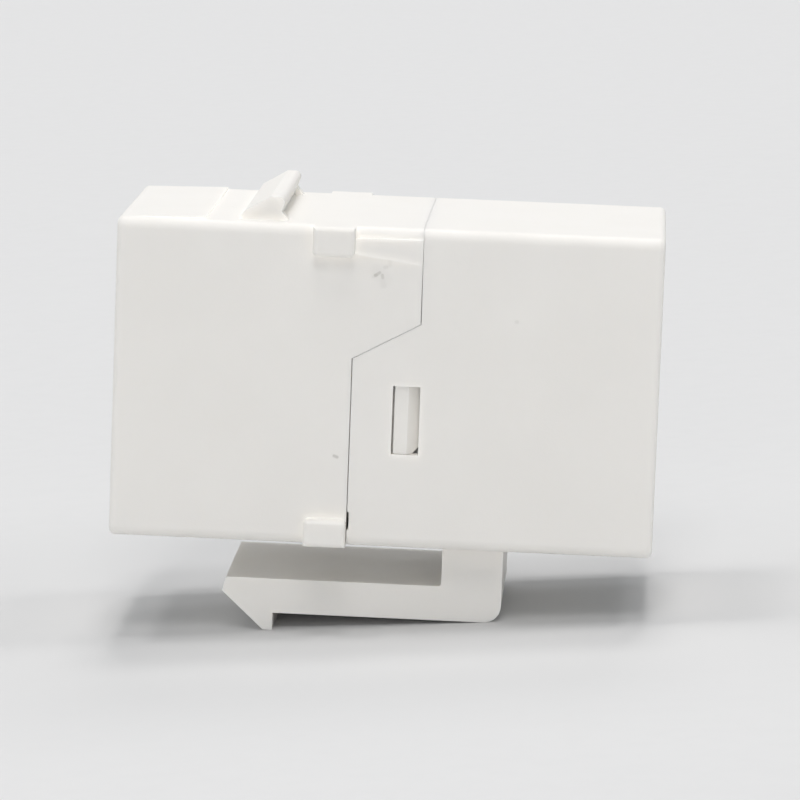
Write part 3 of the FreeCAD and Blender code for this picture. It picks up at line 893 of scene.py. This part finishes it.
def points_of(node: Piece) -> np.ndarray:
    """Gives the points of an object's mesh as rows of three."""
    points = np.zeros(len(node.data.vertices) * 3, np.float32)
    node.data.vertices.foreach_get("co", points)
    return points.reshape(-1, 3)


def dress(piece: Piece, material: bpy.types.Material) -> None:
    """Gives an object one material, in its own slots.

    Args:
        piece: The object.
        material: The material.
    """
    if not piece.material_slots:
        piece.data.materials.append(material)
    for slot in piece.material_slots:
        slot.material = material


# ------------------------------------------------------------- sub-assemblies


@dataclass
class Housings:
    """The two housings and what the mould leaves on them. Sizes are in millimetres.

    The gate's profile goes from its middle inside the wall, round its rim and down to the stub
    where it was cut off: shares of its radius, and of its height below the underside.
    """

    parts: Tuple[str, ...] = ("front_housing", "rear_housing")
    gate_inset: float = 3.2
    gate_radius: float = 0.6
    gate_height: float = 0.07
    gate_facets: int = 40
    gate_profile: Tuple[Tuple[float, float], ...] = (
        (0.0, -0.5),
        (1.0, -0.5),
        (1.0, -0.4),
        (0.99, 0.35),
        (0.93, 0.5),
        (0.62, 0.52),
        (0.55, 0.3),
        (0.5, 0.26),
        (0.34, 0.3),
        (0.3, 0.86),
        (0.22, 1.0),
        (0.0, 0.94),
    )
    near_side: float = -7.25
    finish: MouldedPlastic = field(init=False)

    def __post_init__(self) -> None:
        """Works out the finish, with its strokes on the near side."""
        side = self.near_side
        self.finish = MouldedPlastic(
            name="housing plastic",
            pale=(0.93, 0.91, 0.872),
            deep=(0.916, 0.896, 0.857),
            # The paler corner colour is a painted highlight.
            edge=(0.95, 0.94, 0.915),
            dirt=(0.17, 0.15, 0.11),
            roughness=0.42,
            cloudy_roughness=0.1,
            see_in=0.6,
            see_in_depth=0.6 * MM,
            relief=Relief(0.012 * MM, 0.5),
            strokes=(
                Stroke((3.14, side, 5.80), (3.24, side, 5.87), 0.03, 0.12, 0.08),
                Stroke((3.24, side, 5.87), (3.30, side, 5.90), 0.035, 0.1, 0.36),
                Stroke((3.30, side, 5.91), (3.46, side, 6.02), 0.03, 0.1, 0.26),
                Stroke((3.60, side, 5.90), (3.62, side, 5.76), 0.03, 0.1, 0.24),
                Stroke((3.62, side, 5.70), (3.68, side, 5.38), 0.06, 0.2, 0.07),
                Stroke((3.70, side, 6.30), (3.82, side, 6.33), 0.03, 0.12, 0.1),
                Stroke((3.97, side, 6.42), (3.96, side, 6.66), 0.02, 0.16, 0.06),
                Stroke((3.35, side, 6.05), (3.70, side, 5.70), 0.12, 0.45, 0.035),
                Stroke((1.44, side, -3.62), (1.60, side, -3.68), 0.03, 0.09, 0.3),
                Stroke((10.58, side, 3.77), (10.62, side, 3.77), 0.03, 0.12, 0.1),
            ),
        )

    def build(self, effects: Effects) -> List[Piece]:
        """Dresses both housings and adds their gate marks.

        Args:
            effects: The shared effects.

        Returns:
            The new pieces.
        """
        material = self.finish.material(effects)
        for name in self.parts:
            dress(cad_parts[name], material)
        low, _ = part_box("front_housing")
        _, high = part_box("rear_housing")
        inset = self.gate_inset * MM
        places = {
            "front_gate_mark": (low.x + inset, 0.0, low.z),
            "rear_gate_mark": (high.x - inset, 0.0, low.z),
        }
        made = [self.gate_mark(name, place) for name, place in places.items()]
        for piece in made:
            dress(piece, material)
            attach(piece, BODY)
        return made

    def gate_mark(self, name: str, place: Corner) -> Piece:
        """Builds the trimmed gate that is left on a housing's underside.

        A profile of radius and depth is turned about a line along Z: x is the middle and the
        radius times the cosine of the angle, y the same with the sine, and z is the underside
        less the depth.

        Args:
            name: The piece's name.
            place: The gate's middle on the underside.

        Returns:
            The piece.
        """
        wide, deep = np.array(self.gate_profile).T
        radius = self.gate_radius * wide * MM
        depth = self.gate_height * deep * MM
        angle = np.linspace(0.0, 2 * np.pi, self.gate_facets, endpoint=False)
        points = np.stack(
            [
                place[0] + radius[:, None] * np.cos(angle),
                place[1] + radius[:, None] * np.sin(angle),
                np.broadcast_to(place[2] - depth[:, None], (len(radius), len(angle))),
            ],
            axis=-1,
        )
        return sheet_mesh(name, points[:, ::-1], joined=True)


@dataclass
class ContactSet:
    """The two contact blocks and their sixteen springs. Sizes are in millimetres."""

    blocks: Tuple[str, ...] = ("front_contact_block", "rear_contact_block")
    rows: Tuple[str, ...] = ("front", "rear")
    springs: int = 8
    tail_reach: float = 2.4
    block_finish: MouldedPlastic = MouldedPlastic(
        name="contact block plastic",
        pale=(0.82, 0.815, 0.79),
        deep=(0.785, 0.78, 0.75),
        # The paler corner colour is a painted highlight.
        edge=(0.86, 0.855, 0.83),
        dirt=(0.3, 0.28, 0.23),
        roughness=0.42,
        cloudy_roughness=0.12,
        see_in=0.12,
        see_in_depth=0.6 * MM,
        relief=Relief(0.014 * MM, 0.5),
    )

    def build(self, effects: Effects) -> None:
        """Dresses the blocks and the springs.

        Args:
            effects: The shared effects.
        """
        block = self.block_finish.material(effects)
        for name in self.blocks:
            dress(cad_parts[name], block)
        low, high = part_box("circuit_board")
        plated = PlatedSpring(
            name="plated spring",
            gold=(0.87, 0.62, 0.24),
            rubbed=(0.95, 0.78, 0.46),
            tin=(0.72, 0.71, 0.68),
            roughness=0.2,
            tail_middle=(low.x + high.x) / 2,
            tail_reach=self.tail_reach * MM,
        ).material(effects)
        for row in self.rows:
            for number in range(1, self.springs + 1):
                dress(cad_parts[f"{row}_contact_{number}"], plated)


@dataclass
class CircuitBoard:
    """The board between the blocks. Sizes are in millimetres.

    Each port has two staggered lines of pads, which start at its first two contacts.
    """

    part: str = "circuit_board"
    firsts: Tuple[str, ...] = (
        "front_contact_1",
        "front_contact_2",
        "rear_contact_1",
        "rear_contact_2",
    )
    pad_radius: float = 0.42
    track_half: float = 0.13
    tip_depth: float = 0.02

    def build(self, effects: Effects) -> None:
        """Dresses the board, with its pads where the springs' tails go through it.

        Args:
            effects: The shared effects.
        """
        tails = tuple(self.tail(name) for name in self.firsts)
        finish = MaskedBoard(
            name="masked board",
            mask=(0.02, 0.17, 0.06),
            track=(0.05, 0.3, 0.11),
            laminate=(0.5, 0.46, 0.26),
            glass=(0.62, 0.58, 0.38),
            copper=(0.72, 0.7, 0.66),
            pad_firsts=tails,
            pad_step=2 * abs(tails[1][1] - tails[0][1]),
            pad_radius=self.pad_radius * MM,
            track_half=self.track_half * MM,
            track_end=max(abs(tail[2]) for tail in tails),
        )
        dress(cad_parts[self.part], finish.material(effects))

    def tail(self, name: str) -> Corner:
        """Gives the middle of the end of a contact that goes through the board.

        Args:
            name: The contact's name.

        Returns:
            The mean of the points at the tip of its tail.
        """
        points = points_of(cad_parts[name])
        low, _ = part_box(self.part)
        lowest, highest = points[:, 0].min(), points[:, 0].max()
        tip = highest if lowest < low.x else lowest
        at_tip = points[np.abs(points[:, 0] - tip) < self.tip_depth * MM]
        middle = at_tip.mean(axis=0)
        return float(middle[0]), float(middle[1]), float(middle[2])


# -------------------------------------------------------------------- studio


def way_to(bearing: float, height: float) -> Vector:
    """Gives the unit vector towards a place in the studio.

    X is the sine of the bearing, and Y its cosine below zero, both times the cosine of the
    height, and Z is the sine of the height.

    Args:
        bearing: The angle round the part in degrees, 0 on the near side and 90 towards +X.
        height: The angle above the level in degrees.

    Returns:
        The vector.
    """
    side, lift = math.radians(bearing), math.radians(height)
    across = math.cos(lift)
    return Vector((math.sin(side) * across, -math.cos(side) * across, math.sin(lift)))


@dataclass(frozen=True)
class Lamp:
    """A broad lamp, so far off that it lights everything at one level.

    The level is the share of white that it gives a white surface that faces it. The bearing is
    0 on the near side, -Y, and 90 towards +X, and the spread is how wide the lamp looks. All
    three angles are in degrees.
    """

    name: str
    bearing: float
    height: float
    level: float
    spread: float
    tint: Colour = (1.035, 1.01, 0.99)

    def hang(self) -> Piece:
        """Hangs the lamp, facing the origin.

        Returns:
            The lamp.
        """
        data = bpy.data.lights.new(self.name, "SUN")
        data.energy = self.level * math.pi
        data.angle = math.radians(self.spread)
        data.color = self.tint
        lamp = bpy.data.objects.new(self.name, data)
        bpy.context.scene.collection.objects.link(lamp)
        way = way_to(self.bearing, self.height)
        lamp.location = way
        lamp.rotation_euler = (-way).to_track_quat("-Z", "Y").to_euler()
        return lamp


@dataclass
class Studio:
    """The floor, lamps, world and camera. Lengths are in metres and angles in degrees."""

    lean_limit: float = 15.0
    lean_steps: int = 3001
    floor_half: float = 2.2
    floor_steps: int = 24
    backdrop: Colour = (0.9, 0.9, 0.9)
    sky: Colour = (0.192, 0.211, 0.23)
    lamps: Tuple[Lamp, ...] = (
        Lamp("rear top lamp", 180.0, 75.0, 0.17, 12.0),
        Lamp("front top lamp", 0.0, 75.0, 0.125, 12.0),
        Lamp("left top lamp", -90.0, 70.0, 0.12, 12.0),
        Lamp("right top lamp", 90.0, 70.0, 0.085, 12.0),
        Lamp("left lamp", -90.0, 35.0, 0.06, 20.0),
        Lamp("rear lamp", 180.0, 50.0, 0.09, 20.0),
        Lamp("front lamp", 0.0, 50.0, 0.185, 20.0),
        Lamp("low front lamp", 0.0, 10.0, 0.14, 25.0),
    )
    target: Corner = (0.0044265, -0.0002474, -0.0016729)
    distance: float = 0.2670235
    azimuth: float = 2.588
    elevation: float = 9.122
    roll: float = -2.14
    lens: float = 226.975
    sensor: float = 36.0
    clip: Tuple[float, float] = (0.01, 20.0)

    def build(self) -> List[Piece]:
        """Builds the whole studio.

        Returns:
            The pieces that are only a stage.
        """
        floor = self.floor()
        self.light_world()
        for lamp in self.lamps:
            lamp.hang()
        self.camera()
        return [floor]

    def floor(self) -> Piece:
        """Builds the floor, leaned so that the catch and the heel of the latch both touch it.

        The normal is +Z turned about Y by the lean. A point of the sheet is the floor's level
        along the normal, and a share of each half width along the two directions in the plane.
        The shares are cubed, so the squares are smallest under the part.

        Returns:
            The floor.
        """
        lean, level = self.resting_plane()
        normal = np.array([-math.sin(lean), 0.0, math.cos(lean)])
        along = np.array([math.cos(lean), 0.0, math.sin(lean)])
        across = np.array([0.0, 1.0, 0.0])
        share = np.linspace(-1.0, 1.0, self.floor_steps + 1) ** 3 * self.floor_half
        points = level * normal + share[None, :, None] * along + share[:, None, None] * across
        floor = sheet_mesh("floor", points)
        dress(floor, StudioPaper().material())
        return floor

    def resting_plane(self) -> Tuple[float, float]:
        """Finds the plane that the part rests on, on two points in line along the body.

        A plane of some lean lies against the part at the least dot product of its normal with
        any point. The part rests at the lean where that level is highest, which is where the
        origin is lowest over the plane. Points above half the part's depth below the origin
        are left out.

        Returns:
            The lean in radians, and the plane's level along its normal.
        """
        points = np.concatenate([points_of(node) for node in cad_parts.values()])
        x, _, z = points[points[:, 2] < points[:, 2].min() / 2].T
        leans = np.radians(np.linspace(0.0, self.lean_limit, self.lean_steps))
        levels = (np.outer(-np.sin(leans), x) + np.outer(np.cos(leans), z)).min(axis=1)
        best = int(levels.argmax())
        return float(leans[best]), float(levels[best])

    def light_world(self) -> None:
        """Sets an even sky that lights the part.

        The backdrop stands in its place where it is seen, mirrored or looked through to.
        """
        world = bpy.data.worlds.new("studio")
        bpy.context.scene.world = world
        world.use_nodes = True
        world.node_tree.nodes.clear()
        wires = Wiring(world.node_tree)
        path = wires.node("ShaderNodeLightPath").outputs
        shown = wires.sum_of(Sum.LARGER, path["Is Camera Ray"], path["Is Glossy Ray"])
        shown = wires.sum_of(Sum.LARGER, shown, path["Is Transmission Ray"])
        light = wires.node("ShaderNodeBackground")
        wires.feed(light.inputs["Color"], wires.blend(shown, self.sky, self.backdrop))
        out = wires.node("ShaderNodeOutputWorld")
        wires.feed(out.inputs["Surface"], light.outputs[0])

    def camera(self) -> Piece:
        """Sets the camera at its distance from the target, in the direction of the two angles.

        Its up direction is the world's, turned about the line of sight by the roll.

        Returns:
            The camera.
        """
        back = way_to(self.azimuth, self.elevation)
        right = Vector((0.0, 0.0, 1.0)).cross(back).normalized()
        turn = math.radians(self.roll)
        up = back.cross(right) * math.cos(turn) + right * math.sin(turn)
        data = bpy.data.cameras.new("camera")
        data.lens = self.lens
        data.sensor_width = self.sensor
        data.clip_start, data.clip_end = self.clip
        camera = bpy.data.objects.new("camera", data)
        bpy.context.scene.collection.objects.link(camera)
        turned = Matrix((up.cross(back), up, back)).transposed()
        place = Matrix.Translation(Vector(self.target) + back * self.distance)
        camera.matrix_world = place @ turned.to_4x4()
        bpy.context.scene.camera = camera
        bpy.context.scene.view_settings.view_transform = "Standard"
        return camera


# ---------------------------------------------------------------------- main


def main() -> None:
    """Builds and dresses everything in order, and reports each piece."""
    logging.basicConfig(level=logging.INFO, format="%(name)s: %(message)s", stream=sys.stdout)
    effects = Effects()
    for piece in Housings().build(effects):
        log.info("built %s", piece.name)
    ContactSet().build(effects)
    CircuitBoard().build(effects)
    for name, node in sorted(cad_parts.items()):
        log.info("dressed %s in %s", name, node.material_slots[0].material.name)
    for piece in Studio().build():
        log.info("staged %s", piece.name)


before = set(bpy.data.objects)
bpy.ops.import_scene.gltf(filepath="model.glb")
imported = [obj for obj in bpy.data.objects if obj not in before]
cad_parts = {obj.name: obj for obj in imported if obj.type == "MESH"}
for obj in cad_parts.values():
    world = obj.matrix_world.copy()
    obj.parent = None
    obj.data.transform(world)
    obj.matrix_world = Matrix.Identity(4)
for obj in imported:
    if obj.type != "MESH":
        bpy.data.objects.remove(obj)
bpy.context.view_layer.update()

if __name__ == "__main__":
    main()
